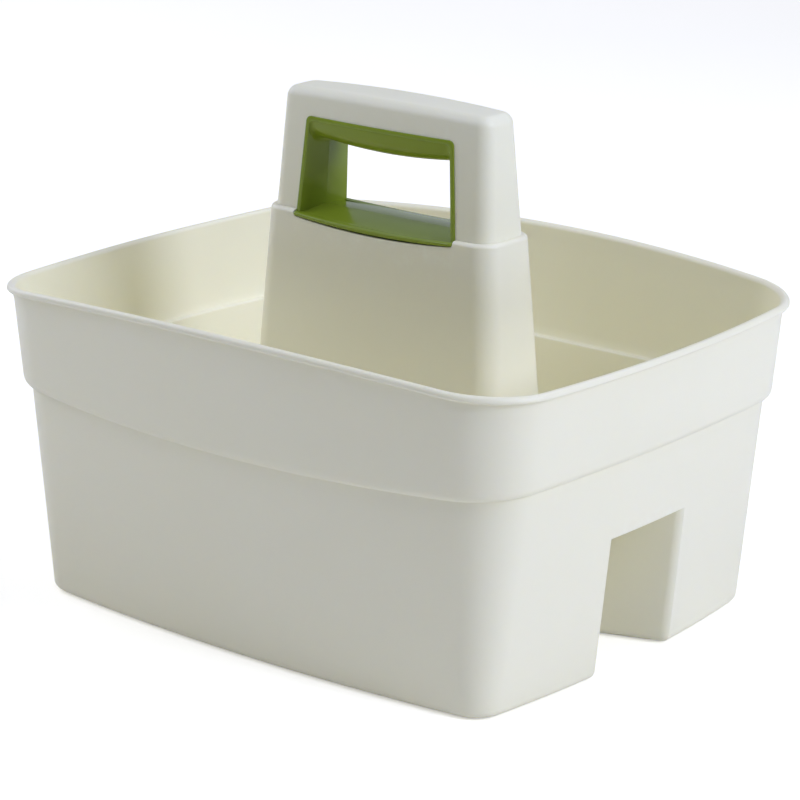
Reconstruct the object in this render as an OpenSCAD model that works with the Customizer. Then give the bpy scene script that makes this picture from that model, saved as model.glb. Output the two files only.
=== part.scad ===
// Cleaning caddy: a two-compartment tub with a hollow central tower, a handle block and a two-piece grip liner.
// Millimetres. The origin is the centre of the base, +X runs along the longer side, +Z is up.

/* [Tub] */
// Length of the tub at the floor
base_length = 320; // [300:1:340]
// Width of the tub at the floor
base_width = 255.4; // [240:0.2:270]
// Length of the lower body at the ledge
ledge_length = 344.3; // [330:0.1:350]
// Width of the lower body at the ledge
ledge_width = 279.4; // [265:0.2:290]
// Length over the walls at the rim
rim_length = 361.7; // [352:0.1:370]
// Width over the walls at the rim
rim_width = 297.2; // [288:0.2:305]
// Height of the ledge at the corners
ledge_height = 119; // [105:1:130]
// Height of the rim at the corners
rim_height = 172; // [160:1:185]
// How far the ledge sags at the middle of the long sides
ledge_sag = 5.7; // [0:0.1:8]
// How far the rim arches up at the middle of the long sides
rim_arch = 8.6; // [0:0.1:12]
// How far the upper band stands out from the lower body
ledge_step = 3.7; // [2.6:0.1:5]
// Wall thickness of the tub
wall = 2; // [1.8:0.1:3]
// Floor thickness
floor_thickness = 2.6; // [2:0.1:4]
// Radius under the outer bottom edge
bottom_radius = 4.8; // [3:0.1:7]

/* [Rim lip] */
// How far the curled lip stands out from the wall
lip_reach = 3; // [2:0.1:5]
// Depth of the lip
lip_depth = 4.4; // [3:0.1:7]

/* [End tunnels] */
// Half width of a tunnel mouth at floor level
mouth_half_width = 32; // [24:0.5:38]
// Height of the tunnels
tunnel_height = 78; // [50:1:90]
// How much a tunnel wall closes in for each millimetre of depth
tunnel_taper = 0.35; // [0.2:0.01:0.36]
// Radius of the upright edges of a mouth
mouth_radius = 7; // [4:0.5:9]

/* [Tower] */
// Length of the pedestal at its shoulder
shoulder_length = 153.8; // [140:0.2:160]
// Width of the pedestal at its shoulder
shoulder_width = 46; // [42:0.2:52]
// Height of the shoulder
shoulder_height = 212; // [200:1:220]
// Length of the pedestal at the floor
pedestal_length = 185.6; // [175:0.2:195]
// Width of the pedestal at the floor
pedestal_width = 70; // [64:0.5:76]
// Width of the shoulder around the handle block
shoulder_step = 3; // [2:0.1:4]
// Height of the handle's top at its ends
handle_height = 276.8; // [265:0.2:285]
// Length of the handle at its top
handle_length = 138.8; // [125:0.2:145]
// Width of the handle at its top
handle_width = 32.4; // [30:0.2:38]
// Rise of the handle's top at its middle
handle_crown = 1.4; // [0:0.1:3]
// Radius of the handle's upper edges
handle_edge_radius = 5.5; // [3:0.5:8]
// Depth of the handle's skirt inside the pedestal
skirt_depth = 10; // [6:1:16]

/* [Grip liner] */
// Half width of the liner's flange at its top
flange_top_half = 49.6; // [46:0.2:51]
// Half width of the liner's flange at the sill
flange_sill_half = 54; // [50:0.2:56]
// Height of the flange's top edge
flange_top = 263.2; // [258:0.2:266]
// Width of the flange
flange_width = 1.4; // [1:0.1:3]
// How far the flange stands proud of the handle
flange_proud = 0.9; // [0.5:0.1:2]
// Depth of the palm grip under the top of the hole
palm_depth = 12; // [6:0.5:14]
// Rise of the floor at the parting line
floor_crown = 2.2; // [1:0.1:2.4]
// How far the sill stands proud of the pedestal
sill_proud = 0.8; // [0.3:0.1:2]
// How far the sill sags at its middle
sill_sag = 1.3; // [0:0.1:2]

/* [Hidden] */

fit_gap = 0.2;
short_steps = 4;
corner_steps = 9;
long_steps = 7;
arc_steps = 4;

// An outline is [half length, half width, long-side bow, short-side bow, corner radius].
base_outline = [base_length / 2, base_width / 2, 11, 10.4, 17.5];
ledge_outline = [ledge_length / 2, ledge_width / 2, 16.7, 11.3, 33.2];
rim_outline = [rim_length / 2, rim_width / 2, 16.5, 12.8, 43];
pedestal_outline = [pedestal_length / 2, pedestal_width / 2, 3.5, 2.5, 15];
shoulder_outline = [shoulder_length / 2, shoulder_width / 2, 2.4, 2.2, 12];
handle_base_outline = [for (i = [0:4]) shoulder_outline[i] - (i == 2 || i == 3 ? 0 : shoulder_step)];
handle_top_outline = [handle_length / 2, handle_width / 2, 3.8, 1.8, 8];
ledge_short_rise = 1.1;
rim_short_arch = 0.6;
shoulder_radius = 2;

function mix(a, b, t) = a + (b - a) * t;
function bow_radius(half, bow) = (half * half + bow * bow) / (2 * bow);

// Centre of the corner arc that blends the long arc into the short arc.
function corner_centre(o) =
    let (long_y = o[1] - bow_radius(o[0], o[2]),
         short_x = o[0] - bow_radius(o[1], o[3]),
         long_d = bow_radius(o[0], o[2]) - o[4],
         short_d = bow_radius(o[1], o[3]) - o[4],
         gap = norm([short_x, long_y]),
         along = (long_d * long_d - short_d * short_d + gap * gap) / (2 * gap),
         across = sqrt(long_d * long_d - along * along),
         u = [short_x, -long_y] / gap)
    [0, long_y] + u * along + [u[1], -u[0]] * across;

// One quarter of an outline, pushed out by shift, from the +X point to the +Y point.
function quarter(o, shift) =
    let (long_r = bow_radius(o[0], o[2]),
         short_r = bow_radius(o[1], o[3]),
         c = corner_centre(o),
         short_end = atan2(c[1], c[0] - o[0] + short_r),
         long_start = atan2(c[1] - o[1] + long_r, c[0]))
    concat(
        [for (i = [0:short_steps - 1]) let (a = short_end * i / short_steps)
            [o[0] - short_r + (short_r + shift) * cos(a), (short_r + shift) * sin(a)]],
        [for (i = [0:corner_steps]) let (a = mix(short_end, long_start, i / corner_steps))
            c + (o[4] + shift) * [cos(a), sin(a)]],
        [for (i = [1:long_steps]) let (a = mix(long_start, 90, i / long_steps))
            [(long_r + shift) * cos(a), o[1] - long_r + (long_r + shift) * sin(a)]]);

// The whole closed outline, counterclockwise.
function outline(o, shift = 0) =
    let (q = quarter(o, shift), n = len(q))
    concat(
        q,
        [for (i = [n - 2:-1:0]) [-q[i][0], q[i][1]]],
        [for (i = [1:n - 1]) [-q[i][0], -q[i][1]]],
        [for (i = [n - 2:-1:1]) [q[i][0], -q[i][1]]]);

// A ring of an outline at a height that rises by long_rise and short_rise at the middle of the sides.
function ring(o, shift, z, long_rise = 0, short_rise = 0) =
    [for (p = outline(o, shift))
        [p[0], p[1], z + long_rise * max(0, 1 - pow(p[0] / o[0], 2)) + short_rise * max(0, 1 - pow(p[1] / o[1], 2))]];

// A closed solid through rings of equal length, with flat caps on the first and the last ring.
module loft(rings) {
    n = len(rings[0]);
    last = len(rings) - 1;
    polyhedron(
        points = [for (r = rings) each r],
        faces = concat(
            [[for (i = [0:n - 1]) i]],
            [for (k = [0:last - 1], i = [0:n - 1]) let (j = (i + 1) % n)
                each [[k * n + i, (k + 1) * n + i, k * n + j], [k * n + j, (k + 1) * n + i, (k + 1) * n + j]]],
            [[for (i = [n - 1:-1:0]) last * n + i]]),
        convexity = 12);
}

// A closed tube whose rings run forward on the outside and back on the inside.
module loft_loop(rings) {
    n = len(rings[0]);
    m = len(rings);
    polyhedron(
        points = [for (r = rings) each r],
        faces = [for (k = [0:m - 1], i = [0:n - 1]) let (j = (i + 1) % n, a = k * n, b = ((k + 1) % m) * n)
            each [[a + i, b + i, a + j], [a + j, b + i, b + j]]],
        convexity = 12);
}

// Lower body, t from 0 at the floor to 1 at the ledge.
function lower_ring(t, shift, lift = 0) =
    ring(mix(base_outline, ledge_outline, t), shift, t * ledge_height + lift, -ledge_sag * t, ledge_short_rise * t);

// Upper band, t from 0 at the ledge to 1 at the rim.
function upper_outline(t) =
    let (o = mix(ledge_outline, rim_outline, t))
    [o[0] + ledge_step * (1 - t), o[1] + ledge_step * (1 - t), o[2], o[3], o[4] + ledge_step * (1 - t)];

function upper_ring(t, shift, lift = 0) =
    ring(upper_outline(t), shift, mix(ledge_height, rim_height, t) + lift,
        mix(-ledge_sag, rim_arch, t), mix(ledge_short_rise, rim_short_arch, t));

// Section of the curled lip: [shift, height from the crest], from the wall outside to the wall inside.
lip_crest = 0.9;
lip_under = 1.4;
lip_nose = lip_depth * 0.55;
lip_inside = 3;
function lip_section() = concat(
    [[0, -lip_depth], [lip_reach - lip_under, -lip_depth]],
    [for (i = [1:arc_steps]) let (a = 90 * i / arc_steps)
        [lip_reach - lip_under + lip_under * sin(a), -lip_depth + (lip_depth - lip_nose) * (1 - cos(a))]],
    [for (i = [1:arc_steps]) let (a = 90 * i / arc_steps)
        [lip_crest + (lip_reach - lip_crest) * cos(a), -lip_nose * (1 - sin(a))]],
    [for (i = [1:arc_steps]) let (a = 90 * i / arc_steps)
        [lip_crest - (lip_crest + wall) * sin(a), -lip_inside * (1 - cos(a))]]);

module tub_shell() {
    round_t = bottom_radius / ledge_height;
    inner_radius = bottom_radius - wall;
    ledge_round = 4.6;
    ledge_t = ledge_round / (rim_height - ledge_height);
    inner_step = wall + 0.8;
    loft(concat(
        [for (i = [0:arc_steps]) let (a = 90 * i / arc_steps)
            lower_ring(round_t * (1 - cos(a)), -bottom_radius * (1 - sin(a)))],
        [lower_ring(0.5, 0), lower_ring(1, 0)],
        [for (i = [1:arc_steps]) let (a = 90 * i / arc_steps)
            upper_ring(ledge_t * (1 - cos(a)), -ledge_step * (1 - sin(a)))],
        [upper_ring(0.55, 0)],
        [for (s = lip_section()) upper_ring(1, s[0], s[1])],
        [upper_ring(0.5, -wall), upper_ring(ledge_t, -wall, inner_step)],
        [lower_ring(1, ledge_step - wall - 1, inner_step), lower_ring(1, -wall + 0.5, inner_step - 0.3)],
        [lower_ring(1, -wall, inner_step - 1.2), lower_ring(0.5, -wall)],
        [for (i = [0:arc_steps]) let (a = 90 * i / arc_steps)
            lower_ring((floor_thickness + inner_radius * (1 - sin(a))) / ledge_height,
                -wall - inner_radius * (1 - cos(a)))]));
}

// Pedestal, t from 0 at the floor to 1 at the shoulder.
function pedestal_ring(t, shift, z) = ring(mix(pedestal_outline, shoulder_outline, t), shift, z);

module pedestal_solid() {
    start = floor_thickness / 2;
    round_z = shoulder_height - shoulder_radius;
    loft(concat(
        [pedestal_ring(start / shoulder_height, 0, start), pedestal_ring(0.5, 0, shoulder_height / 2)],
        [for (i = [0:arc_steps]) let (a = 90 * i / arc_steps, z = round_z + shoulder_radius * sin(a))
            pedestal_ring(z / shoulder_height, -shoulder_radius * (1 - cos(a)), z)]));
}

module pedestal_hollow() {
    ceiling = shoulder_height - wall;
    loft([
        pedestal_ring(0, -wall, -1),
        pedestal_ring(0.5, -wall, shoulder_height / 2),
        pedestal_ring(ceiling / shoulder_height, -wall, ceiling)]);
}

// Plan of one tunnel at height z, grown by grow: a funnel with round upright edges at its mouth.
tunnel_end = pedestal_length / 2 - 12;
tunnel_draft = 0.01;
tunnel_angle = atan(1 / tunnel_taper);
tunnel_slant = sqrt(1 + tunnel_taper * tunnel_taper);
tunnel_beyond = 30;
function mouth_x(z) = mix(base_length, ledge_length, z / ledge_height) / 2;
function tunnel_half(x, z) = mouth_half_width + (x - mouth_x(z)) * tunnel_taper - z * tunnel_draft;

function tunnel_side(z, grow) =
    let (c = [mouth_x(z) - mouth_radius,
              tunnel_half(mouth_x(z) - mouth_radius, z) + mouth_radius * tunnel_slant],
         r = mouth_radius - grow)
    concat(
        [[tunnel_end, tunnel_half(tunnel_end, z) + grow * tunnel_slant]],
        [for (i = [0:arc_steps]) let (a = tunnel_angle * (1 - i / arc_steps)) c + r * [cos(a), -sin(a)]],
        [[mouth_x(z) + tunnel_beyond, c[1]]]);

function tunnel_ring(z, grow) =
    let (side = tunnel_side(z, grow), n = len(side))
    [for (p = concat([for (i = [n - 1:-1:0]) side[i]], [for (q = side) [q[0], -q[1]]])) [p[0], p[1], z]];

module tunnel(grow, low, top) {
    loft([tunnel_ring(low, grow), tunnel_ring(top, grow)]);
}

// The handle's base, the ledge opening and the skirt share the shoulder outline, pushed in by these amounts.
seat_inset = shoulder_step + 1.2;
skirt_inset = seat_inset + fit_gap;
skirt_wall = 1.6;
notch_half = flange_sill_half + fit_gap;
notch_depth = 3.3;
notch_sag = 2.8;
notch_steps = 12;

// Notch across the shoulder, through both long faces: its lower edge sags under the sill.
module shoulder_notch() {
    rotate([90, 0, 0])
        linear_extrude(height = 2 * shoulder_width, center = true)
            polygon(concat(
                [for (i = [-notch_steps:notch_steps]) let (u = i / notch_steps)
                    [notch_half * u, shoulder_height - notch_depth - notch_sag * (1 - u * u)]],
                [[notch_half, shoulder_height + 1], [-notch_half, shoulder_height + 1]]));
}

module pedestal_openings() {
    loft([for (z = [shoulder_height - wall - 1, shoulder_height + 1]) ring(shoulder_outline, -seat_inset, z)]);
    shoulder_notch();
}

module tub() {
    color("ivory")
    difference() {
        union() {
            tub_shell();
            pedestal_solid();
            for (side = [0, 180])
                rotate([0, 0, side])
                    intersection() {
                        tunnel(wall, floor_thickness / 2, tunnel_height + wall);
                        loft([lower_ring(0, -bottom_radius), lower_ring(0.05, -1), lower_ring(1, -1)]);
                    }
        }
        pedestal_hollow();
        pedestal_openings();
        for (side = [0, 180])
            rotate([0, 0, side])
                tunnel(0, -1, tunnel_height);
    }
}

// Handle block, t from 0 at the shoulder to 1 at its top.
function handle_outline(t) = mix(handle_base_outline, handle_top_outline, t);
handle_rise = handle_height - shoulder_height;

function handle_ring(t, shift, crown = 0) =
    ring(handle_outline(t), shift, shoulder_height + handle_rise * t, crown);

module handle_solid() {
    r = handle_edge_radius;
    round_t = 1 - r / handle_rise;
    loft(concat(
        [handle_ring(0, 0), handle_ring(0.5, 0, handle_crown * 0.3)],
        [for (i = [0:arc_steps + 1]) let (a = 90 * i / (arc_steps + 1))
            handle_ring(mix(round_t, 1, sin(a)), -r * (1 - cos(a)), handle_crown)]));
}

module handle_hollow() {
    r = handle_edge_radius - wall;
    top_t = 1 - wall / handle_rise;
    round_t = top_t - r / handle_rise;
    loft(concat(
        [handle_ring(-0.02, -wall), handle_ring(0.5, -wall, handle_crown * 0.3)],
        [for (i = [0:arc_steps]) let (a = 90 * i / arc_steps)
            handle_ring(mix(round_t, top_t, sin(a)), -wall - r * (1 - cos(a)), handle_crown)]));
}

module handle_skirt() {
    loft_loop([
        ring(shoulder_outline, -skirt_inset, shoulder_height - skirt_depth),
        ring(shoulder_outline, -skirt_inset, shoulder_height + wall),
        ring(shoulder_outline, -skirt_inset - skirt_wall, shoulder_height + wall),
        ring(shoulder_outline, -skirt_inset - skirt_wall, shoulder_height - skirt_depth)]);
}

// The hand hole and the liner share one outline in the XZ plane: straight sides that lean in, and round top corners.
hole_low = shoulder_height - 2.6;
hole_corner = 3;
floor_steps = 8;
side_steps = 4;
top_steps = 16;

function hole_half(z) = mix(flange_sill_half, flange_top_half, (z - hole_low) / (flange_top - hole_low));

// Share of its full depth that the palm grip hangs down at x: arched along the bar.
palm_arch = 0.28;
function palm_shape(x) = 1 - palm_arch * pow(x / flange_top_half, 2);

// Right half of the outline, [x, z] from the middle of the floor to the middle of the top.
function half_hole(inset, floor_z, palm) =
    let (top = flange_top - inset,
         corner_x = hole_half(flange_top) - inset - hole_corner,
         side_x = hole_half(floor_z) - inset,
         bend_z = top - palm * palm_shape(corner_x) - hole_corner)
    concat(
        [for (i = [0:floor_steps]) [side_x * i / floor_steps, floor_z]],
        [for (i = [1:side_steps]) let (z = mix(floor_z, bend_z, i / side_steps)) [hole_half(z) - inset, z]],
        [for (i = [1:arc_steps]) let (a = 90 * i / arc_steps)
            [mix(corner_x, hole_half(bend_z) - inset, cos(a)), bend_z + hole_corner * sin(a)]],
        [for (i = [1:top_steps]) let (x = corner_x * cos(90 * i / top_steps))
            [x, top - palm * palm_shape(x)]]);

// The whole outline, mirrored about x = 0.
function hole_outline(inset, floor_z, palm = 0) =
    let (h = half_hole(inset, floor_z, palm), n = len(h))
    concat(h, [for (i = [n - 2:-1:1]) [-h[i][0], h[i][1]]]);

module hand_hole(inset) {
    rotate([90, 0, 0])
        linear_extrude(height = 2 * shoulder_width, center = true)
            polygon(hole_outline(inset, hole_low));
}

module handle() {
    color("ivory")
    difference() {
        union() {
            difference() {
                handle_solid();
                handle_hollow();
            }
            handle_skirt();
        }
        hand_hole(flange_width);
    }
}

// Distance of the handle's long face from the middle plane at x and z.
function face_y(x, z) =
    let (o = handle_outline((z - shoulder_height) / handle_rise), r = bow_radius(o[0], o[2]))
    o[1] - r + sqrt(r * r - x * x);

// Distance of the pedestal's long face from the middle plane at x, at the shoulder.
function shoulder_y(x) =
    let (r = bow_radius(shoulder_outline[0], shoulder_outline[2]))
    shoulder_outline[1] - r + sqrt(r * r - x * x);

// Rings of the front liner half. Depth runs from 0 at the parting plane to 1 at the handle's face.
liner_wall = 1.2;
liner_draft = 1.2;
parting_gap = 0.05;
half_depth = handle_width / 2;
function liner_ring(inset, depth, proud, floor_z, palm = 0) =
    [for (p = hole_outline(inset, floor_z, palm))
        [p[0], -max(parting_gap, depth * face_y(p[0], p[1]) + proud), p[1]]];

floor_peak = shoulder_height + 0.5;
function floor_at(depth) = floor_peak - floor_crown * (0.55 * depth + 0.45 * depth * depth);
function palm_at(depth) = palm_depth * sqrt(1 - pow(depth, 4));
function inner_ring(depth) =
    liner_ring(flange_width + liner_wall + liner_draft * (1 - depth), depth, 0, floor_at(depth), palm_at(depth));

inner_stations = [0.98, 0.94, 0.88, 0.8, 0.68, 0.52, 0.3, 0];
liner_low = hole_low + fit_gap / 2;
module liner_tube() {
    inside = flange_width + liner_wall;
    loft_loop(concat(
        [liner_ring(inside - 0.5, 1, flange_proud, floor_at(1) - 0.2)],
        [liner_ring(inside, 1, flange_proud - 0.4, floor_at(1))],
        [for (depth = inner_stations) inner_ring(depth)],
        [liner_ring(flange_width + fit_gap, 0, 0, liner_low)],
        [liner_ring(flange_width + fit_gap, 1, parting_gap, liner_low)],
        [liner_ring(0, 1, parting_gap, liner_low), liner_ring(0, 1, flange_proud, liner_low)]));
}

// Sill: a rolled lip in the shoulder's notch, with a web that hangs down behind the pedestal's wall.
sill_steps = 12;
sill_top = shoulder_height - 0.9;
sill_root = shoulder_height - 1.8;
sill_drop = 2.1;
sill_mid_drop = 0.7;
sill_round = 0.8;
web_gap = 0.6;
web_thickness = 1.2;
web_low = shoulder_height - 7.5;
function sill_section(x) =
    let (swell = 1 - pow(x / flange_sill_half, 2),
         front = shoulder_y(x) + sill_proud,
         web = shoulder_y(x) - wall - web_gap,
         top = sill_top - sill_sag * swell,
         low = top - sill_drop - sill_mid_drop * swell,
         r = sill_round)
    [[web - web_thickness, max(top, sill_root)], [front - 2 * r, top], [front - 0.6 * r, top - 0.4 * r],
        [front, top - 1.3 * r], [front, low + r], [front - 0.3 * r, low + 0.3 * r], [front - r, low],
        [web, low], [web, web_low], [web - web_thickness, web_low]];

module sill() {
    loft([for (i = [-sill_steps:sill_steps]) let (x = flange_sill_half * i / sill_steps)
        [for (p = sill_section(x)) [x, -p[0], p[1]]]]);
    plate_half = flange_sill_half - flange_width - fit_gap;
    plate_low = liner_low + 0.15;
    plate_front = shoulder_width / 2 - wall - web_gap - web_thickness / 2;
    plate_back = half_depth - liner_wall;
    translate([-plate_half, -plate_front, plate_low])
        cube([2 * plate_half, plate_front - plate_back, sill_root - 0.05 - plate_low]);
}

module grip_half() {
    color("olivedrab")
    union() {
        liner_tube();
        sill();
    }
}

module grip_front() {
    grip_half();
}

module grip_rear() {
    rotate([0, 0, 180])
        grip_half();
}

tub();
handle();
grip_front();
grip_rear();
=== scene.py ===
"""Cleaning caddy: the looks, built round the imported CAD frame. Lengths in the shape code are millimetres."""

import math

import bmesh
import bpy
from mathutils import Matrix, Vector


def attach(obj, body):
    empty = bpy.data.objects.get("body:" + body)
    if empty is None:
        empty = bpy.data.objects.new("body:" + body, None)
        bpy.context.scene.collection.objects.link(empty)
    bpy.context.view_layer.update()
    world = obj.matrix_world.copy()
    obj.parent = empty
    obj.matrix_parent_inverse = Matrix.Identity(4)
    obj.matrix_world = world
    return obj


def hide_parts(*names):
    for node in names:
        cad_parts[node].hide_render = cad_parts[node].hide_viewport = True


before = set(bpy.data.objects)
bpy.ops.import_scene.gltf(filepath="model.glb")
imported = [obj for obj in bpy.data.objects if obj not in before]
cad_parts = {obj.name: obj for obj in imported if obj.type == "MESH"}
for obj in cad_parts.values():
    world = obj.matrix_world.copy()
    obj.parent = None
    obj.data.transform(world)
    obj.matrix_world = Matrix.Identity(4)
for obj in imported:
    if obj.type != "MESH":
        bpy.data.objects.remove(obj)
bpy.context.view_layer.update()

MM = 0.001  # metres in a millimetre
CUT_BEYOND = 1  # how far a cutting shape runs past the face that it cuts
FIT = 0.2  # gap between pieces that plug together

# ---------------------------------------------------------------- outlines

# steps along a quarter of an outline: its short side, its corner and its long side
SHORT_STEPS = 14
CORNER_STEPS = 22
LONG_STEPS = 22
# steps in a quarter turn of a round edge
ARC_STEPS = 8

# heights at the corners
LEDGE_Z = 119.0
RIM_Z = 172.0
SHOULDER_Z = 212.0
HANDLE_Z = 276.8
# thicknesses
WALL = 2.0
FLOOR = 2.6
# how far the ledge and the rim leave their heights at the middle of the long and the short sides
LEDGE_SAG = 5.7
RIM_ARCH = 8.6
LEDGE_SHORT_RISE = 1.1
RIM_SHORT_ARCH = 0.6
# how far the upper band stands out from the lower body
LEDGE_STEP = 3.7

# half length, half width, long-side bow, short-side bow, corner radius
BASE = (160.0, 127.7, 11.0, 10.4, 17.5)
LEDGE = (172.15, 139.7, 16.7, 11.3, 33.2)
RIM = (180.85, 148.6, 16.5, 12.8, 43.0)
PEDESTAL = (92.8, 35.0, 3.5, 2.5, 15.0)
SHOULDER = (76.9, 23.0, 2.4, 2.2, 12.0)
SHOULDER_STEP = 3.0
HANDLE_BASE = (73.9, 20.0, 2.4, 2.2, 9.0)
HANDLE_TOP = (69.4, 16.2, 3.8, 1.8, 8.0)


def mix(a, b, t):
    """Linear blend of two numbers, or of two tuples number by number."""
    if isinstance(a, tuple):
        return tuple(x + (y - x) * t for x, y in zip(a, b))
    return a + (b - a) * t


def arc(steps, start=0.0, stop=90.0):
    """Angles in radians, both ends included."""
    return [math.radians(mix(start, stop, i / steps)) for i in range(steps + 1)]


def bow_radius(half, bow):
    """Radius of an arc that is twice half long across its ends and bows out by bow."""
    return (half * half + bow * bow) / (2 * bow)


def quarter(plan, shift):
    """From the +X point to the +Y point: a short arc, a corner arc and a long arc, all tangent."""
    a, b, long_bow, short_bow, r = plan
    long_r = bow_radius(a, long_bow)
    short_r = bow_radius(b, short_bow)
    long_y = b - long_r
    short_x = a - short_r
    # the corner arc's centre is long_r - r from the long arc's centre and short_r - r from the short arc's
    gap = math.hypot(short_x, long_y)
    along = ((long_r - r) ** 2 - (short_r - r) ** 2 + gap * gap) / (2 * gap)
    across = math.sqrt((long_r - r) ** 2 - along * along)
    ux, uy = short_x / gap, -long_y / gap
    cx, cy = ux * along + uy * across, long_y + uy * along - ux * across
    short_end = math.atan2(cy, cx - short_x)
    long_start = math.atan2(cy - long_y, cx)
    points = []
    for i in range(SHORT_STEPS):
        t = short_end * i / SHORT_STEPS
        points.append((short_x + (short_r + shift) * math.cos(t), (short_r + shift) * math.sin(t)))
    for i in range(CORNER_STEPS + 1):
        t = mix(short_end, long_start, i / CORNER_STEPS)
        points.append((cx + (r + shift) * math.cos(t), cy + (r + shift) * math.sin(t)))
    for i in range(1, LONG_STEPS + 1):
        t = mix(long_start, math.pi / 2, i / LONG_STEPS)
        points.append(((long_r + shift) * math.cos(t), long_y + (long_r + shift) * math.sin(t)))
    points[-1] = (0.0, b + shift)
    return points


def outline(plan, shift=0.0):
    """The whole outline, counterclockwise from the +X point, moved out by shift."""
    first = quarter(plan, shift)
    second = [(-x, y) for x, y in reversed(first[:-1])]
    third = [(-x, -y) for x, y in first[1:]]
    fourth = [(x, -y) for x, y in reversed(first[1:-1])]
    return first + second + third + fourth


def ring(plan, shift, z, long_rise=0.0, short_rise=0.0):
    """An outline at a height, lifted towards the middle of its long and its short sides."""
    points = []
    for x, y in outline(plan, shift):
        rise = long_rise * max(0.0, 1 - (x / plan[0]) ** 2) + short_rise * max(0.0, 1 - (y / plan[1]) ** 2)
        points.append((x, y, z + rise))
    return points


# ---------------------------------------------------------------- mesh helpers

WELD = 1e-6  # metres
SHARP_ANGLE = 28  # degrees


def new_object(name, bm):
    """Puts a mesh under construction into the scene as an object."""
    mesh = bpy.data.meshes.new(name)
    bm.to_mesh(mesh)
    bm.free()
    obj = bpy.data.objects.new(name, mesh)
    bpy.context.scene.collection.objects.link(obj)
    return obj


def loft(name, rings, loop=False):
    """A closed solid through rings of equal length; a loop runs forward outside and back inside."""
    bm = bmesh.new()
    rows = [[bm.verts.new(Vector(p) * MM) for p in r] for r in rings]
    n = len(rows[0])
    pairs = list(zip(rows, rows[1:] + rows[:1])) if loop else list(zip(rows, rows[1:]))
    for low, high in pairs:
        for i in range(n):
            j = (i + 1) % n
            bm.faces.new((low[i], low[j], high[j], high[i]))
    if not loop:
        bm.faces.new(list(reversed(rows[0])))
        bm.faces.new(rows[-1])
    return new_object(name, bm)


def combine(base, other, operation):
    """Applies a boolean to base and removes other."""
    modifier = base.modifiers.new(operation, "BOOLEAN")
    modifier.operation = operation
    modifier.object = other
    modifier.solver = "MANIFOLD"
    bpy.context.view_layer.update()
    result = bpy.data.meshes.new_from_object(base.evaluated_get(bpy.context.evaluated_depsgraph_get()))
    base.modifiers.clear()
    base.data = result
    bpy.data.objects.remove(other)
    return base


def half_turn(obj, name):
    """A copy turned by 180 degrees about the vertical axis."""
    mesh = obj.data.copy()
    mesh.transform(Matrix.Rotation(math.pi, 4, "Z"))
    turned = bpy.data.objects.new(name, mesh)
    bpy.context.scene.collection.objects.link(turned)
    return turned


def finish_piece(obj, node, material):
    """Cleans and shades a mesh, gives it its material and ties it to the CAD frame."""
    mesh = obj.data
    bm = bmesh.new()
    bm.from_mesh(mesh)
    bmesh.ops.remove_doubles(bm, verts=bm.verts, dist=WELD)
    bmesh.ops.dissolve_degenerate(bm, edges=bm.edges, dist=WELD)
    bm.to_mesh(mesh)
    bm.free()
    mesh.shade_smooth()
    mesh.set_sharp_from_angle(angle=math.radians(SHARP_ANGLE))
    mesh.materials.clear()
    mesh.materials.append(material)
    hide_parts(node)
    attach(obj, "root")


# ---------------------------------------------------------------- tub

BOTTOM_RADIUS = 4.8
FLOOR_FILLET = 4.8
SAG_START = 0.06
LOWER_LEVELS = (0.15, 0.3, 0.45, 0.6, 0.75, 0.9)
UNDER_LEDGE = 0.985
LEDGE_FLARE = 0.15
LEDGE_ROUND_RISE = 4.6
LEDGE_INSIDE = WALL + 0.8  # height of the ledge inside, over the ledge outside
LEDGE_INSIDE_STEPS = 4
LEDGE_DIP_REACH = 1.0
LEDGE_DIP_RISE = 1.5
LEDGE_NOSE = 0.9


def lower_ring(t, shift, lift=0.0):
    """A ring of the lower body, from 0 at the floor to 1 at the ledge."""
    sag = max(0.0, (t - SAG_START) / (1 - SAG_START))
    return ring(mix(BASE, LEDGE, t), shift, t * LEDGE_Z + lift, -LEDGE_SAG * sag, LEDGE_SHORT_RISE * sag)


def upper_ring(t, shift, lift=0.0):
    """A ring of the upper band, from 0 at the ledge to 1 at the rim."""
    a, b, long_bow, short_bow, r = mix(LEDGE, RIM, t)
    out = LEDGE_STEP * (1 - t)
    return ring(
        (a + out, b + out, long_bow, short_bow, r + out),
        shift,
        mix(LEDGE_Z, RIM_Z, t) + lift,
        mix(-LEDGE_SAG, RIM_ARCH, t),
        mix(LEDGE_SHORT_RISE, RIM_SHORT_ARCH, t),
    )


LIP_REACH = 3.0
LIP_DEPTH = 4.4
LIP_CREST = 0.9
LIP_UNDER = 1.2
LIP_NOSE = LIP_DEPTH * 0.5
LIP_FILLET = 1.6
LIP_INSIDE = 3.0


def lip_section():
    """[shift, height below the crest] from the wall outside, round the lip, to the wall inside."""
    under = LIP_NOSE + LIP_UNDER
    section = []
    for a in arc(ARC_STEPS):
        section.append((LIP_FILLET * (1 - math.cos(a)), -under - LIP_FILLET * (1 - math.sin(a))))
    for a in arc(ARC_STEPS)[1:]:
        reach = LIP_REACH - LIP_UNDER + LIP_UNDER * math.sin(a)
        section.append((reach, -under + LIP_UNDER * (1 - math.cos(a))))
    for a in arc(ARC_STEPS)[1:]:
        reach = LIP_CREST + (LIP_REACH - LIP_CREST) * math.cos(a)
        section.append((reach, -LIP_NOSE * (1 - math.sin(a))))
    for a in arc(ARC_STEPS)[1:]:
        reach = LIP_CREST - (LIP_CREST + WALL) * math.sin(a)
        section.append((reach, -LIP_INSIDE * (1 - math.cos(a))))
    return section


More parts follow.
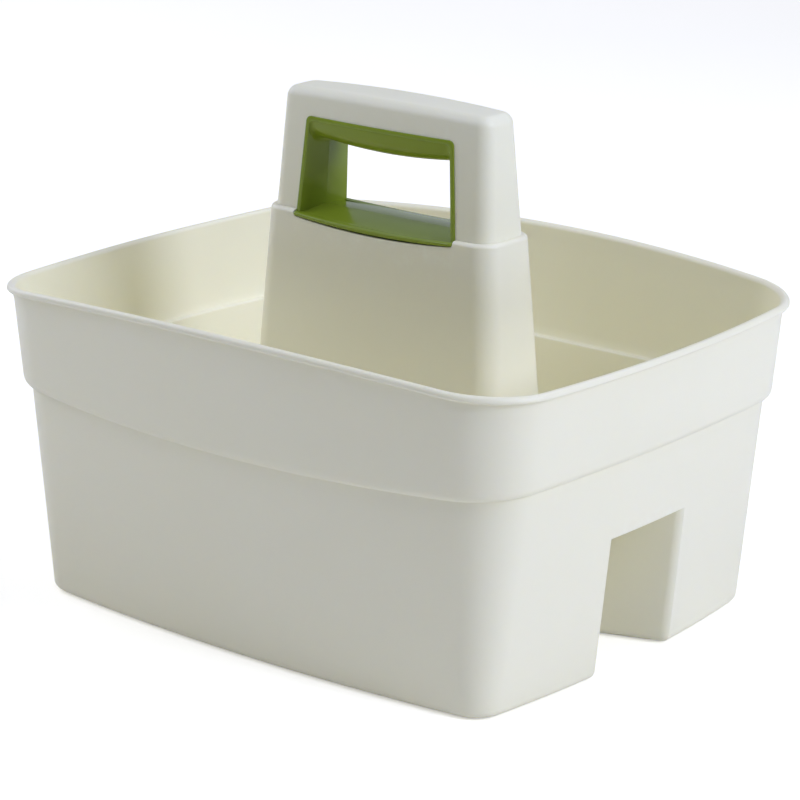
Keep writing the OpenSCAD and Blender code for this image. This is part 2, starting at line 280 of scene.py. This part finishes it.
def tub_outside():
    round_t = BOTTOM_RADIUS / LEDGE_Z
    ledge_t = LEDGE_ROUND_RISE / (RIM_Z - LEDGE_Z)
    rings = []
    for a in arc(ARC_STEPS):
        rings.append(lower_ring(round_t * (1 - math.cos(a)), -BOTTOM_RADIUS * (1 - math.sin(a))))
    rings += [lower_ring(t, 0) for t in (*LOWER_LEVELS, UNDER_LEDGE)]
    rings.append(lower_ring(1, LEDGE_FLARE))
    for a in arc(ARC_STEPS)[1:]:
        rings.append(upper_ring(ledge_t * (1 - math.cos(a)), -LEDGE_STEP * (1 - math.sin(a))))
    return rings + [upper_ring(t, 0) for t in (0.3, 0.5, 0.7, 0.85)]


def tub_inside():
    ledge_t = LEDGE_ROUND_RISE / (RIM_Z - LEDGE_Z)
    rings = [upper_ring(t, -WALL) for t in (0.8, 0.6, 0.4, 0.2)]
    rings.append(upper_ring(ledge_t, -WALL, LEDGE_INSIDE))
    for a in arc(LEDGE_INSIDE_STEPS)[1:]:
        shift = LEDGE_STEP - WALL - LEDGE_DIP_REACH * (1 - math.cos(a))
        rings.append(lower_ring(1, shift, LEDGE_INSIDE + LEDGE_DIP_RISE * (1 - math.sin(a))))
    for a in arc(LEDGE_INSIDE_STEPS):
        shift = -WALL + LEDGE_NOSE * (1 - math.sin(a))
        rings.append(lower_ring(1, shift, LEDGE_INSIDE - LEDGE_NOSE * (1 - math.cos(a))))
    rings += [lower_ring(t, -WALL) for t in reversed(LOWER_LEVELS)]
    for a in arc(ARC_STEPS):
        height = FLOOR + FLOOR_FILLET * (1 - math.sin(a))
        rings.append(lower_ring(height / LEDGE_Z, -WALL - FLOOR_FILLET * (1 - math.cos(a))))
    return rings


def tub_shell():
    """One skin: up the outside, over the rim lip, and down the inside to the floor."""
    lip = [upper_ring(1, shift, lift) for shift, lift in lip_section()]
    return loft("tub_body", tub_outside() + lip + tub_inside())


def pedestal_ring(z, shift):
    """A ring of the tower below its shoulder."""
    return ring(mix(PEDESTAL, SHOULDER, z / SHOULDER_Z), shift, z)


SHOULDER_RADIUS = 2.0
FOOT_RADIUS = 4.0
SEAT_LEDGE = 1.2  # width of the ledge that the handle block stands on
SEAT_INSET = SHOULDER_STEP + SEAT_LEDGE


def foot(a):
    """Concave fillet on the floor: how far it stands out, and its height."""
    return FOOT_RADIUS * (1 - math.sin(a)), FLOOR + FOOT_RADIUS * (1 - math.cos(a))


def pedestal_solid():
    rings = [pedestal_ring(FLOOR / 2, FOOT_RADIUS)]
    for a in arc(ARC_STEPS):
        out, z = foot(a)
        rings.append(pedestal_ring(z, out))
    rings += [pedestal_ring(z, 0) for z in (30, 60, 90, 120, 150, 180)]
    for a in arc(ARC_STEPS):
        z = SHOULDER_Z - SHOULDER_RADIUS * (1 - math.sin(a))
        rings.append(pedestal_ring(z, -SHOULDER_RADIUS * (1 - math.cos(a))))
    return loft("pedestal", rings)


def pedestal_hollow():
    levels = (-CUT_BEYOND, 50, 100, 150, SHOULDER_Z - WALL)
    return loft("pedestal_hollow", [pedestal_ring(z, -WALL) for z in levels])


MOUTH_HALF = 32.0
TUNNEL_TOP = 78.0
TUNNEL_TAPER = 0.35
TUNNEL_DRAFT = 0.01
MOUTH_RADIUS = 7.0
MOUTH_STEPS = 12
TUNNEL_INTO_TOWER = 12.0
TUNNEL_END = PEDESTAL[0] - TUNNEL_INTO_TOWER
TUNNEL_BEYOND = 30.0
TUNNEL_STEPS = 6
TUNNEL_STRAIGHT_END = 4  # from the straight side's last station to the centre of the mouth's round edge
TUNNEL_ROUND = 3.0
COVER_STEPS = 6
CORE_ROUND = 0.05  # share of the lower body over which the core closes in to the floor
CORE_INSET = 1


def mouth_x(z):
    """How far out the end wall stands at a height."""
    return mix(BASE[0], LEDGE[0], z / LEDGE_Z)


def tunnel_half(x, z):
    """Half the tunnel's width: it closes in with depth and with height."""
    return MOUTH_HALF + (x - mouth_x(z)) * TUNNEL_TAPER - z * TUNNEL_DRAFT


def tunnel_ring(z, grow):
    """Plan of the +X tunnel at a height: a funnel with round upright edges at its mouth."""
    slant = math.sqrt(1 + TUNNEL_TAPER**2)
    mouth = mouth_x(z) - MOUTH_RADIUS
    cx, cy = mouth, tunnel_half(mouth, z) + MOUTH_RADIUS * slant
    r = MOUTH_RADIUS - grow
    last = mouth - TUNNEL_STRAIGHT_END
    stations = [mix(TUNNEL_END, last, i / TUNNEL_STEPS) for i in range(TUNNEL_STEPS + 1)]
    side = [(x, tunnel_half(x, z) + grow * slant) for x in stations]
    for a in arc(MOUTH_STEPS, math.degrees(math.atan(1 / TUNNEL_TAPER)), 0):
        side.append((cx + r * math.cos(a), cy - r * math.sin(a)))
    side.append((mouth_x(z) + TUNNEL_BEYOND, cy))
    return [(x, y, z) for x, y in reversed(side)] + [(x, -y, z) for x, y in side]


def tunnel_cutter(name):
    """The tunnel's air, flared at the bottom so that the edge under the tub is round along the tunnel too."""
    rings = [tunnel_ring(-CUT_BEYOND, BOTTOM_RADIUS)]
    for a in arc(ARC_STEPS):
        rings.append(tunnel_ring(BOTTOM_RADIUS * (1 - math.cos(a)), BOTTOM_RADIUS * (1 - math.sin(a))))
    rings += [tunnel_ring(z, 0) for z in (TUNNEL_TOP / 2, TUNNEL_TOP)]
    return loft(name, rings)


def tunnel_cover(name):
    """The ridge that a tunnel makes inside the tub, kept to what lies within the outer wall."""
    rings = [tunnel_ring(FLOOR / 2, WALL + TUNNEL_ROUND)]
    for a in arc(COVER_STEPS):
        height = FLOOR + TUNNEL_ROUND * (1 - math.cos(a))
        rings.append(tunnel_ring(height, WALL + TUNNEL_ROUND * (1 - math.sin(a))))
    rings.append(tunnel_ring(TUNNEL_TOP / 2, WALL))
    for a in arc(COVER_STEPS):
        height = TUNNEL_TOP + WALL - TUNNEL_ROUND * (1 - math.sin(a))
        rings.append(tunnel_ring(height, WALL - TUNNEL_ROUND * (1 - math.cos(a))))
    cover = loft(name, rings)
    inside = [lower_ring(t, -CORE_INSET) for t in (CORE_ROUND, 1)]
    core = loft("core", [lower_ring(0, -BOTTOM_RADIUS)] + inside)
    return combine(cover, core, "INTERSECT")


NOTCH_HALF = 54.2
NOTCH_DEPTH = 3.3
NOTCH_SAG = 2.8
NOTCH_STEPS = 40
NOTCH_CORNER = 1.6
NOTCH_REACH = 30


def shoulder_notch():
    """Cuts the shoulder on both long faces, to an edge that sags under the sill and has round corners."""
    low = []
    for i in range(-NOTCH_STEPS, NOTCH_STEPS + 1):
        x = NOTCH_HALF * math.sin(math.pi / 2 * i / NOTCH_STEPS)
        from_end = max(0.0, (abs(x) - NOTCH_HALF + NOTCH_CORNER) / NOTCH_CORNER)
        lift = NOTCH_CORNER * (1 - math.sqrt(max(0.0, 1 - from_end**2)))
        low.append((x, SHOULDER_Z - NOTCH_DEPTH - NOTCH_SAG * (1 - (x / NOTCH_HALF) ** 2) + lift))
    top = SHOULDER_Z + CUT_BEYOND
    shape = low + [(NOTCH_HALF, top), (-NOTCH_HALF, top)]
    faces = [[(x, y, z) for x, z in shape] for y in (NOTCH_REACH, -NOTCH_REACH)]
    return loft("shoulder_notch", faces)


def build_tub():
    tub = tub_shell()
    combine(tub, pedestal_solid(), "UNION")
    cover = tunnel_cover("cover")
    combine(tub, half_turn(cover, "cover_left"), "UNION")
    combine(tub, cover, "UNION")
    combine(tub, pedestal_hollow(), "DIFFERENCE")
    seat_levels = (SHOULDER_Z - WALL - CUT_BEYOND, SHOULDER_Z + CUT_BEYOND)
    seat = [ring(SHOULDER, -SEAT_INSET, z) for z in seat_levels]
    combine(tub, loft("seat", seat), "DIFFERENCE")
    combine(tub, shoulder_notch(), "DIFFERENCE")
    cutter = tunnel_cutter("tunnel")
    combine(tub, half_turn(cutter, "tunnel_left"), "DIFFERENCE")
    combine(tub, cutter, "DIFFERENCE")
    return tub


# ---------------------------------------------------------------- handle

HANDLE_CROWN = 1.4
HANDLE_EDGE = 5.5
HANDLE_EDGE_STEPS = 12
HANDLE_INSIDE_STEPS = 6
HANDLE_INSIDE_LEVELS = (-0.02, 0.25, 0.5, 0.75)
HANDLE_RISE = HANDLE_Z - SHOULDER_Z
SKIRT_INSET = SEAT_INSET + FIT
SKIRT_WALL = 1.6
SKIRT_DEPTH = 10.0


def handle_outline(t):
    return mix(HANDLE_BASE, HANDLE_TOP, t)


def handle_ring(t, shift, crown=0.0):
    """A ring of the handle block, from 0 at the shoulder to 1 at its top."""
    return ring(handle_outline(t), shift, SHOULDER_Z + HANDLE_RISE * t, crown)


def handle_solid():
    round_t = 1 - HANDLE_EDGE / HANDLE_RISE
    rings = [handle_ring(t, 0, HANDLE_CROWN * t) for t in (0, 0.15, 0.3, 0.45, 0.6, 0.75)]
    for a in arc(HANDLE_EDGE_STEPS):
        t = mix(round_t, 1, math.sin(a))
        rings.append(handle_ring(t, -HANDLE_EDGE * (1 - math.cos(a)), HANDLE_CROWN))
    return loft("handle_shell", rings)


def handle_hollow():
    r = HANDLE_EDGE - WALL
    top_t = 1 - WALL / HANDLE_RISE
    round_t = top_t - r / HANDLE_RISE
    rings = [handle_ring(t, -WALL, HANDLE_CROWN * max(0, t)) for t in HANDLE_INSIDE_LEVELS]
    for a in arc(HANDLE_INSIDE_STEPS):
        t = mix(round_t, top_t, math.sin(a))
        rings.append(handle_ring(t, -WALL - r * (1 - math.cos(a)), HANDLE_CROWN))
    return loft("handle_hollow", rings)


def handle_skirt():
    """The collar under the handle block that plugs into the tower."""
    low, high = SHOULDER_Z - SKIRT_DEPTH, SHOULDER_Z + WALL
    inner = SKIRT_INSET + SKIRT_WALL
    places = [(SKIRT_INSET, low), (SKIRT_INSET, high), (inner, high), (inner, low)]
    return loft("skirt", [ring(SHOULDER, -inset, z) for inset, z in places], loop=True)


FLANGE_TOP_HALF = 49.6
FLANGE_SILL_HALF = 54.0
FLANGE_TOP = 263.2
FLANGE_WIDTH = 1.4
FLANGE_PROUD = 0.9
HOLE_CORNER = 3.0
HOLE_BELOW_SHOULDER = 2.6
HOLE_LOW = SHOULDER_Z - HOLE_BELOW_SHOULDER
HOLE_REACH = 40
PALM_DEPTH = 12.0
PALM_ARCH = 0.28
FLOOR_STEPS = 24
SIDE_STEPS = 12
TOP_STEPS = 44


def hole_half(z):
    """Half the hand hole's width at a height."""
    return mix(FLANGE_SILL_HALF, FLANGE_TOP_HALF, (z - HOLE_LOW) / (FLANGE_TOP - HOLE_LOW))


def palm_shape(x):
    """Share of its full depth that the palm grip hangs down at x: arched along the bar."""
    return 1 - PALM_ARCH * (x / FLANGE_TOP_HALF) ** 2


def hole_outline(inset, floor_z, palm=0.0):
    """The hand hole in the XZ plane, counterclockwise from the middle of its floor."""
    top = FLANGE_TOP - inset
    corner_x = hole_half(FLANGE_TOP) - inset - HOLE_CORNER
    side_x = hole_half(floor_z) - inset
    bend_z = top - palm * palm_shape(corner_x) - HOLE_CORNER
    half = [(side_x * i / FLOOR_STEPS, floor_z) for i in range(FLOOR_STEPS + 1)]
    for i in range(1, SIDE_STEPS + 1):
        z = mix(floor_z, bend_z, i / SIDE_STEPS)
        half.append((hole_half(z) - inset, z))
    for a in arc(ARC_STEPS)[1:]:
        x = mix(corner_x, hole_half(bend_z) - inset, math.cos(a))
        half.append((x, bend_z + HOLE_CORNER * math.sin(a)))
    for i in range(1, TOP_STEPS + 1):
        x = corner_x * math.cos(math.pi / 2 * i / TOP_STEPS)
        half.append((x, top - palm * palm_shape(x)))
    return half + [(-x, z) for x, z in reversed(half[1:-1])]


def build_handle():
    handle = handle_solid()
    combine(handle, handle_hollow(), "DIFFERENCE")
    combine(handle, handle_skirt(), "UNION")
    edge = hole_outline(FLANGE_WIDTH, HOLE_LOW)
    hole = [[(x, y, z) for x, z in edge] for y in (HOLE_REACH, -HOLE_REACH)]
    combine(handle, loft("hole", hole), "DIFFERENCE")
    return handle


# ---------------------------------------------------------------- grip liner

LINER_WALL = 1.2
LINER_DRAFT = 1.2
PARTING = 0.05
FLOOR_PEAK = SHOULDER_Z + 0.5
FLOOR_CROWN = 2.2
# shares of the floor's fall from its middle that are even and curved
FLOOR_EVEN = 0.55
FLOOR_CURVED = 0.45
LINER_LOW = HOLE_LOW + FIT / 2
# round edges of the flange, ring by ring: how far into the flange from that edge, and back from its face;
# for the inner edge also how far below the floor
FLANGE_INNER_EDGE = ((0.6, 0.0, 0.25), (0.25, 0.1, 0.1), (0.0, 0.4, 0.0))
FLANGE_OUTER_EDGE = ((0.0, 0.3), (0.12, 0.08), (0.4, 0.0))
INNER_DEPTHS = (0.99, 0.975, 0.95, 0.915, 0.87, 0.81, 0.74, 0.65, 0.54, 0.42, 0.28, 0.14, 0)


def face_y(x, z):
    """Distance of the handle's long face from the middle plane."""
    half_length, half_width, long_bow = handle_outline((z - SHOULDER_Z) / HANDLE_RISE)[:3]
    r = bow_radius(half_length, long_bow)
    return half_width - r + math.sqrt(r * r - x * x)


def shoulder_y(x):
    """Distance of the shoulder's long face from the middle plane."""
    half_length, half_width, long_bow = SHOULDER[:3]
    r = bow_radius(half_length, long_bow)
    return half_width - r + math.sqrt(r * r - x * x)


def liner_ring(inset, depth, proud, floor_z, palm=0.0):
    """Depth runs from 0 at the parting plane to 1 at the handle's face."""
    points = []
    for x, z in hole_outline(inset, floor_z, palm):
        points.append((x, -max(PARTING, depth * face_y(x, z) + proud), z))
    return points


def inner_ring(depth):
    """The liner's inside at a depth, with the palm grip above and the crowned floor below."""
    inset = FLANGE_WIDTH + LINER_WALL + LINER_DRAFT * (1 - depth)
    floor_z = FLOOR_PEAK - FLOOR_CROWN * (FLOOR_EVEN * depth + FLOOR_CURVED * depth**2)
    return liner_ring(inset, depth, 0, floor_z, PALM_DEPTH * math.sqrt(1 - depth**4))


def liner_tube():
    """The front half of the liner: from the flange in to the parting plane, and back out behind it."""
    floor_z = FLOOR_PEAK - FLOOR_CROWN
    outer = FLANGE_WIDTH + FIT
    inside = FLANGE_WIDTH + LINER_WALL
    rings = []
    for inset, back, drop in FLANGE_INNER_EDGE:
        rings.append(liner_ring(inside - inset, 1, FLANGE_PROUD - back, floor_z - drop))
    rings += [inner_ring(depth) for depth in INNER_DEPTHS]
    rings += [
        liner_ring(outer, 0, 0, LINER_LOW),
        liner_ring(outer, 1, PARTING, LINER_LOW),
        liner_ring(0, 1, PARTING, LINER_LOW),
    ]
    rings += [liner_ring(inset, 1, FLANGE_PROUD - back, LINER_LOW) for inset, back in FLANGE_OUTER_EDGE]
    return loft("grip_liner_front", rings, loop=True)


SILL_STEPS = 40
SILL_PROUD = 0.8
SILL_TOP = SHOULDER_Z - 0.9
SILL_SAG = 1.3
SILL_ROOT = SHOULDER_Z - 1.8
SILL_DROP = 2.1
SILL_MID_DROP = 0.7
SILL_ROUND = 0.8
SILL_TOP_STEPS = 6
SILL_LOW_STEPS = 5
SILL_END = 1.6
# how far a sill's ends draw in and turn up
SILL_END_IN = 1.3
SILL_END_UP = 0.8
# the roll over the top, in sill rounds: its depth, its height, and the start of the flat behind it
SILL_ROLL_DEPTH = 1.5
SILL_ROLL_HEIGHT = 1.3
SILL_FLAT = 2.6
SILL_FLAT_FALL = 0.7  # share of the fall from the root that the flat takes
WEB_GAP = 0.6
WEB_THICKNESS = 1.2
WEB_DEPTH = 7.5
WEB_LOW = SHOULDER_Z - WEB_DEPTH
PLATE_CLEAR = 0.15
PLATE_UNDER = 0.05


def sill_section(x):
    """Section of the rolled lip at x: over the top, round the front, under it and down the web behind."""
    swell = 1 - (x / FLANGE_SILL_HALF) ** 2
    from_end = max(0.0, (abs(x) - FLANGE_SILL_HALF + SILL_END) / SILL_END)
    shrink = 1 - math.sqrt(max(0.0, 1 - from_end**2))
    front = shoulder_y(x) + SILL_PROUD - SILL_END_IN * shrink
    web = shoulder_y(x) - WALL - WEB_GAP
    top = SILL_TOP - SILL_SAG * swell
    low = top - SILL_DROP - SILL_MID_DROP * swell + SILL_END_UP * shrink
    back = web - WEB_THICKNESS
    root = max(top, SILL_ROOT)
    r = SILL_ROUND
    section = [(back, root), (front - SILL_FLAT * r, mix(root, top, SILL_FLAT_FALL))]
    for a in arc(SILL_TOP_STEPS):
        y = front - SILL_ROLL_DEPTH * r * (1 - math.sin(a))
        section.append((y, top - SILL_ROLL_HEIGHT * r * (1 - math.cos(a))))
    for a in arc(SILL_LOW_STEPS):
        section.append((front - r * (1 - math.cos(a)), low + r * (1 - math.sin(a))))
    section += [(web, low), (web, WEB_LOW), (back, WEB_LOW)]
    return section


def sill():
    """The bowed lip in front of the hand hole, with the web that hangs behind the tower's wall."""
    half = FLANGE_SILL_HALF
    stations = [half * math.sin(math.pi / 2 * i / SILL_STEPS) for i in range(-SILL_STEPS, SILL_STEPS + 1)]
    return loft("sill", [[(x, -y, z) for y, z in sill_section(x)] for x in stations])


def sill_plate():
    """Joins the sill to the liner under the hand hole's floor."""
    half = FLANGE_SILL_HALF - FLANGE_WIDTH - FIT
    front = SHOULDER[1] - WALL - WEB_GAP - WEB_THICKNESS / 2
    back = HANDLE_TOP[1] - LINER_WALL
    corners = [(half, -front), (half, -back), (-half, -back), (-half, -front)]
    levels = (LINER_LOW + PLATE_CLEAR, SILL_ROOT - PLATE_UNDER)
    return loft("sill_plate", [[(x, y, z) for x, y in corners] for z in levels])


def build_grip():
    grip = liner_tube()
    combine(grip, sill(), "UNION")
    combine(grip, sill_plate(), "UNION")
    return grip


# ---------------------------------------------------------------- materials

# noise scales are in cycles per metre, bump distances in metres
DRIFT_SCALE = 9.0
WAVE_SCALE = 11.0
GLOSS_SCALE = 34.0
SCUFF_SCALE = 160.0
GRAIN_SCALE = 1500.0
WAVE_HEIGHT = 0.0012
GRAIN_HEIGHT = 0.00004
PLASTIC_IOR = 1.49
WORN_GAIN = 1.12
WORN_LIFT = 0.02
# sockets of a colour Mix node by number, because it repeats its socket names for each data type
MIX_FACTOR = 0
MIX_A = 6
MIX_B = 7
MIX_RESULT = 2


def shader_node(tree, kind, **values):
    """A shader node with its attributes, or its input sockets, set."""
    made = tree.nodes.new(kind)
    for key, value in values.items():
        if hasattr(made, key):
            setattr(made, key, value)
        else:
            made.inputs[key.replace("_", " ")].default_value = value
    return made


def noise(tree, place, scale, detail=2.0, roughness=0.5):
    """A noise texture in the object's own space."""
    made = shader_node(tree, "ShaderNodeTexNoise", Scale=scale, Detail=detail, Roughness=roughness)
    tree.links.new(place.outputs["Object"], made.inputs["Vector"])
    return made


def ramp(tree, source, low, high, low_at=0.3, high_at=0.7):
    """Maps a noise to colours, or greys where low and high are numbers."""
    made = tree.nodes.new("ShaderNodeValToRGB")
    for element, value, at in zip(made.color_ramp.elements, (low, high), (low_at, high_at)):
        element.position = at
        element.color = (value, value, value, 1) if isinstance(value, float) else (*value, 1)
    tree.links.new(source, made.inputs["Fac"])
    return made


def moulded_plastic(name, colour, shade, rough, grain, soft):
    """Satin moulded plastic: faint colour drift, uneven gloss, fine grain, slow waviness and rubbed edges."""
    material = bpy.data.materials.new(name)
    material.use_nodes = True
    tree = material.node_tree
    tree.nodes.clear()
    link = tree.links.new
    out = tree.nodes.new("ShaderNodeOutputMaterial")
    shader = tree.nodes.new("ShaderNodeBsdfPrincipled")
    link(shader.outputs["BSDF"], out.inputs["Surface"])
    shader.inputs["IOR"].default_value = PLASTIC_IOR
    shader.inputs["Specular IOR Level"].default_value = soft["gloss"]
    shader.inputs["Subsurface Weight"].default_value = soft["weight"]
    shader.inputs["Subsurface Radius"].default_value = soft["radius"]
    shader.inputs["Subsurface Scale"].default_value = soft["scale"]
    place = tree.nodes.new("ShaderNodeTexCoord")

    drift = ramp(tree, noise(tree, place, DRIFT_SCALE, 3.0).outputs["Fac"], shade, colour)
    geometry = tree.nodes.new("ShaderNodeNewGeometry")
    edges = ramp(tree, geometry.outputs["Pointiness"], 0.0, 1.0, 0.52, 0.6)
    scuffs = ramp(tree, noise(tree, place, SCUFF_SCALE, 4.0, 0.65).outputs["Fac"], 0.0, 1.0, 0.5, 0.75)
    wear = shader_node(tree, "ShaderNodeMath", operation="MULTIPLY")
    link(edges.outputs["Color"], wear.inputs[0])
    link(scuffs.outputs["Color"], wear.inputs[1])
    worn = shader_node(tree, "ShaderNodeMix", data_type="RGBA")
    worn.inputs[MIX_B].default_value = (*[min(1.0, c * WORN_GAIN + WORN_LIFT) for c in colour], 1)
    link(wear.outputs["Value"], worn.inputs[MIX_FACTOR])
    link(drift.outputs["Color"], worn.inputs[MIX_A])
    link(worn.outputs[MIX_RESULT], shader.inputs["Base Color"])

    gloss = ramp(tree, noise(tree, place, GLOSS_SCALE, 5.0, 0.6).outputs["Fac"], rough[0], rough[1])
    link(gloss.outputs["Color"], shader.inputs["Roughness"])

    slow = shader_node(tree, "ShaderNodeBump", Strength=soft["wave"], Distance=WAVE_HEIGHT)
    link(noise(tree, place, WAVE_SCALE, 1.0).outputs["Fac"], slow.inputs["Height"])
    fine = shader_node(tree, "ShaderNodeBump", Strength=grain, Distance=GRAIN_HEIGHT)
    link(noise(tree, place, GRAIN_SCALE, 2.0, 0.6).outputs["Fac"], fine.inputs["Height"])
    link(slow.outputs["Normal"], fine.inputs["Normal"])
    link(fine.outputs["Normal"], shader.inputs["Normal"])
    return material


IVORY_SOFT = {"weight": 0.25, "radius": (1.0, 0.85, 0.55), "scale": 0.004, "gloss": 0.5, "wave": 0.2}
GREEN_SOFT = {"weight": 0.1, "radius": (0.8, 1.0, 0.3), "scale": 0.002, "gloss": 0.42, "wave": 0.05}

ivory = moulded_plastic(
    "ivory_plastic",
    colour=(0.945, 0.905, 0.665),
    shade=(0.93, 0.89, 0.645),
    rough=(0.36, 0.46),
    grain=0.25,
    soft=IVORY_SOFT,
)
handle_ivory = moulded_plastic(
    "handle_plastic",
    colour=(0.94, 0.907, 0.66),
    shade=(0.925, 0.892, 0.64),
    rough=(0.4, 0.5),
    grain=0.35,
    soft=IVORY_SOFT,
)
green = moulded_plastic(
    "green_plastic",
    colour=(0.255, 0.34, 0.026),
    shade=(0.235, 0.315, 0.022),
    rough=(0.18, 0.24),
    grain=0.25,
    soft=GREEN_SOFT,
)

# ---------------------------------------------------------------- the object

finish_piece(build_tub(), "tub", ivory)
finish_piece(build_handle(), "handle", handle_ivory)
grip_front = build_grip()
grip_rear = half_turn(grip_front, "grip_liner_rear")
finish_piece(grip_front, "grip_front", green)
finish_piece(grip_rear, "grip_rear", green)

# ---------------------------------------------------------------- floor, light and camera

# half the side of a sheet and the heights of the two sheets, in metres
SHEET_HALF = 14.0
SHEET_STEPS = 24
LIT_Z = -0.0006
SEEN_Z = -0.0003
PAPER_GLOW = 0.46
WORLD = 0.05
# where the lights aim, in metres
TARGET = Vector((0.0, 0.0, 0.12))
KEY_COLOUR = (0.69, 0.735, 1.0)
FILL_COLOUR = (0.752, 0.783, 1.0)
ACROSS = 218.9  # azimuth straight across the object from the camera

# name, azimuth, elevation, distance, width, height, strength in watts, colour
LIGHTS = [
    ("key_right", 100, 28, 2.4, 1.0, 0.9, 37.0, KEY_COLOUR),
    ("key_above", 90, 55, 2.4, 1.4, 1.4, 10.0, KEY_COLOUR),
    ("front_above", 0, 68, 2.4, 1.4, 1.0, 10.6, FILL_COLOUR),
    ("front_left", -45, 40, 2.4, 1.2, 1.2, 14.0, FILL_COLOUR),
    ("left", -90, 25, 2.4, 1.4, 1.4, 21.0, FILL_COLOUR),
    ("behind_above", 170, 52, 2.4, 1.2, 1.0, 11.3, FILL_COLOUR),
    ("horizon", ACROSS, 4, 2.3, 1.8, 0.5, 1.7, FILL_COLOUR),
    ("haze", ACROSS, 25, 2.3, 1.8, 0.7, 1.6, FILL_COLOUR),
]

# camera angles in degrees, distances in metres, lens and sensor in millimetres
CAMERA_AZIMUTH = 38.86
CAMERA_ELEVATION = 16.88
CAMERA_ROLL = 0.494
CAMERA_DISTANCE = 1.6984
CAMERA_TARGET = Vector((0.00298, 0.0, 0.11137))
CAMERA_LENS = 141.4
CAMERA_SENSOR = 36.0


def paper(name, colour, glow):
    """Matt paper with a faint drift of tint, which may glow."""
    material = bpy.data.materials.new(name)
    material.use_nodes = True
    tree = material.node_tree
    shader = tree.nodes["Principled BSDF"]
    shader.inputs["Roughness"].default_value = 0.9
    shader.inputs["Specular IOR Level"].default_value = 0.1
    place = tree.nodes.new("ShaderNodeTexCoord")
    fibres = noise(tree, place, 3.0, 3.0).outputs["Fac"]
    tint = ramp(tree, fibres, colour, tuple(c + 0.02 for c in colour))
    tree.links.new(tint.outputs["Color"], shader.inputs["Base Color"])
    shader.inputs["Emission Color"].default_value = (1.0, 1.0, 0.98, 1)
    shader.inputs["Emission Strength"].default_value = glow
    return material


def stage_floor(name, z, material):
    """A level sheet under the object, as a grid of square faces."""
    bm = bmesh.new()
    places = [mix(-SHEET_HALF, SHEET_HALF, i / SHEET_STEPS) for i in range(SHEET_STEPS + 1)]
    rows = [[bm.verts.new((x, y, z)) for y in places] for x in places]
    for a, b in zip(rows, rows[1:]):
        for j in range(SHEET_STEPS):
            bm.faces.new((a[j], b[j], b[j + 1], a[j + 1]))
    floor = new_object(name, bm)
    floor.data.materials.append(material)
    return floor


def stage_paper():
    """The lit paper sends light up at the object. The backlit sheet over it is what the camera sees."""
    lit = stage_floor("floor_lit", LIT_Z, paper("lit_paper", (0.91, 0.9, 0.87), 0.0))
    lit.visible_camera = False
    seen = stage_floor("floor_seen", SEEN_Z, paper("backlit_paper", (0.9, 0.88, 0.76), PAPER_GLOW))
    seen.visible_diffuse = False
    seen.visible_glossy = False
    seen.visible_shadow = False
    seen.visible_transmission = False


def direction(azimuth, elevation):
    """Unit vector out from the object: azimuth 0 is the front (-Y) and 90 is the right (+X), in degrees."""
    a, e = math.radians(azimuth), math.radians(elevation)
    return Vector((math.sin(a) * math.cos(e), -math.cos(a) * math.cos(e), math.sin(e)))


def stage_lights():
    for name, azimuth, elevation, distance, width, height, watts, colour in LIGHTS:
        data = bpy.data.lights.new(name, "AREA")
        data.shape = "RECTANGLE"
        data.size, data.size_y = width, height
        data.energy = watts
        data.color = colour
        lamp = bpy.data.objects.new(name, data)
        back = direction(azimuth, elevation)
        lamp.location = TARGET + back * distance
        lamp.rotation_euler = (-back).to_track_quat("-Z", "Y").to_euler()
        bpy.context.scene.collection.objects.link(lamp)
    world = bpy.data.worlds.new("studio")
    world.use_nodes = True
    background = world.node_tree.nodes["Background"]
    background.inputs["Color"].default_value = (0.97, 1.0, 1.08, 1)
    background.inputs["Strength"].default_value = WORLD
    bpy.context.scene.world = world


def stage_camera():
    data = bpy.data.cameras.new("camera")
    data.sensor_width = CAMERA_SENSOR
    data.lens = CAMERA_LENS
    data.clip_start, data.clip_end = 0.05, 60.0
    camera = bpy.data.objects.new("camera", data)
    back = direction(CAMERA_AZIMUTH, CAMERA_ELEVATION)
    azimuth, roll = math.radians(CAMERA_AZIMUTH), math.radians(CAMERA_ROLL)
    right = Vector((math.cos(azimuth), math.sin(azimuth), 0))
    up = back.cross(right)
    turned_right = right * math.cos(roll) + up * math.sin(roll)
    turned_up = up * math.cos(roll) - right * math.sin(roll)
    place = Matrix.Translation(CAMERA_TARGET + back * CAMERA_DISTANCE)
    camera.matrix_world = place @ Matrix((turned_right, turned_up, back)).transposed().to_4x4()
    bpy.context.scene.collection.objects.link(camera)
    bpy.context.scene.camera = camera


stage_paper()
stage_lights()
stage_camera()
bpy.context.scene.view_settings.view_transform = "Standard"
